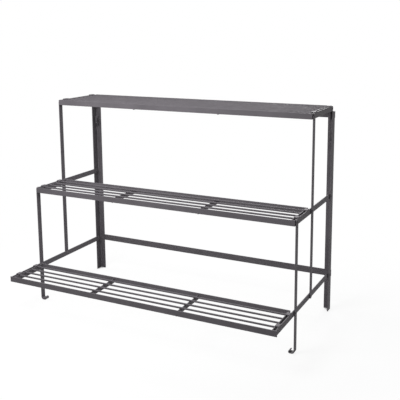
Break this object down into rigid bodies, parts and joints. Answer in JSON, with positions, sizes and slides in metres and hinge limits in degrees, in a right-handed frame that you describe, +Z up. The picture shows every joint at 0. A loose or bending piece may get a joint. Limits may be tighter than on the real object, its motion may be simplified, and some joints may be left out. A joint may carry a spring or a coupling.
{
  "type": "folding plant stand",
  "caption": "Tiered steel plant stand with stepped grille shelves on a rear frame; the shelves swing up together on riveted flat bars, so that it folds flat.",
  "frame": {"origin": "on the floor under the middle of the stand's outer box, with the shelves swung down", "axes": "+Z up, +X along the length to the right seen from the front, +Y to the rear, so the front faces -Y"},
  "size_m": [1.0648, 0.583, 0.786],
  "materials": {
    "powder_coat": "satin",
    "fixings": "satin"
  },
  "bodies": {
    "rear_frame": {"catch_rivets": "fixings", "left_fold_catch": "powder_coat", "left_pivot_lug": "powder_coat", "left_rear_post": "powder_coat", "low_stretcher": "powder_coat", "post_pivot_rivets": "fixings", "post_pivot_washers": "fixings", "right_fold_catch": "powder_coat", "right_pivot_lug": "powder_coat", "right_rear_post": "powder_coat", "top_stretcher": "powder_coat"},
    "top_shelf": {"top_shelf_cross_bars": "powder_coat", "top_shelf_front_rail": "powder_coat", "top_shelf_left_arm": "powder_coat", "top_shelf_left_end_bar": "powder_coat", "top_shelf_rear_rail": "powder_coat", "top_shelf_right_arm": "powder_coat", "top_shelf_right_end_bar": "powder_coat", "top_shelf_rods": "powder_coat", "top_shelf_tabs": "powder_coat"},
    "middle_shelf": {"middle_shelf_cross_bars": "powder_coat", "middle_shelf_front_rail": "powder_coat", "middle_shelf_left_arm": "powder_coat", "middle_shelf_left_end_bar": "powder_coat", "middle_shelf_rear_rail": "powder_coat", "middle_shelf_right_arm": "powder_coat", "middle_shelf_right_end_bar": "powder_coat", "middle_shelf_rods": "powder_coat", "middle_shelf_tabs": "powder_coat"},
    "bottom_shelf": {"bottom_shelf_cross_bars": "powder_coat", "bottom_shelf_front_rail": "powder_coat", "bottom_shelf_left_arm": "powder_coat", "bottom_shelf_left_end_bar": "powder_coat", "bottom_shelf_rear_rail": "powder_coat", "bottom_shelf_right_arm": "powder_coat", "bottom_shelf_right_end_bar": "powder_coat", "bottom_shelf_rods": "powder_coat", "bottom_shelf_tabs": "powder_coat"},
    "left_upright": {"left_upright": "powder_coat", "left_upright_rivets": "fixings", "left_upright_washers": "fixings"},
    "left_front_leg": {"left_front_leg": "powder_coat", "left_front_leg_rivets": "fixings", "left_front_leg_washers": "fixings"},
    "right_upright": {"right_upright": "powder_coat", "right_upright_rivets": "fixings", "right_upright_washers": "fixings"},
    "right_front_leg": {"right_front_leg": "powder_coat", "right_front_leg_rivets": "fixings", "right_front_leg_washers": "fixings"}
  },
  "joints": [
    {"name": "fold", "type": "hinge", "parent": "rear_frame", "child": "top_shelf", "pos_m": [0, 0.2675, 0.773], "axis": [-1, 0, 0], "range_deg": [0, 80]},
    {"name": "middle_shelf_pivot", "type": "hinge", "parent": "rear_frame", "child": "middle_shelf", "pos_m": [0, 0.2675, 0.448], "axis": [-1, 0, 0], "range_deg": [0, 80]},
    {"name": "bottom_shelf_pivot", "type": "hinge", "parent": "rear_frame", "child": "bottom_shelf", "pos_m": [0, 0.2675, 0.142], "axis": [-1, 0, 0], "range_deg": [0, 80]},
    {"name": "left_upright_pivot", "type": "hinge", "parent": "top_shelf", "child": "left_upright", "pos_m": [0, 0.044, 0.773], "axis": [-1, 0, 0], "range_deg": [-80, 0]},
    {"name": "right_upright_pivot", "type": "hinge", "parent": "top_shelf", "child": "right_upright", "pos_m": [0, 0.044, 0.773], "axis": [-1, 0, 0], "range_deg": [-80, 0]},
    {"name": "left_front_leg_pivot", "type": "hinge", "parent": "middle_shelf", "child": "left_front_leg", "pos_m": [0, -0.1145, 0.448], "axis": [-1, 0, 0], "range_deg": [-80, 0]},
    {"name": "right_front_leg_pivot", "type": "hinge", "parent": "middle_shelf", "child": "right_front_leg", "pos_m": [0, -0.1145, 0.448], "axis": [-1, 0, 0], "range_deg": [-80, 0]}
  ],
  "couplings": [
    {"joint": "middle_shelf_pivot", "follows": "fold", "ratio": 1},
    {"joint": "bottom_shelf_pivot", "follows": "fold", "ratio": 1},
    {"joint": "left_upright_pivot", "follows": "fold", "ratio": -1},
    {"joint": "right_upright_pivot", "follows": "fold", "ratio": -1},
    {"joint": "left_front_leg_pivot", "follows": "fold", "ratio": -1},
    {"joint": "right_front_leg_pivot", "follows": "fold", "ratio": -1}
  ]
}
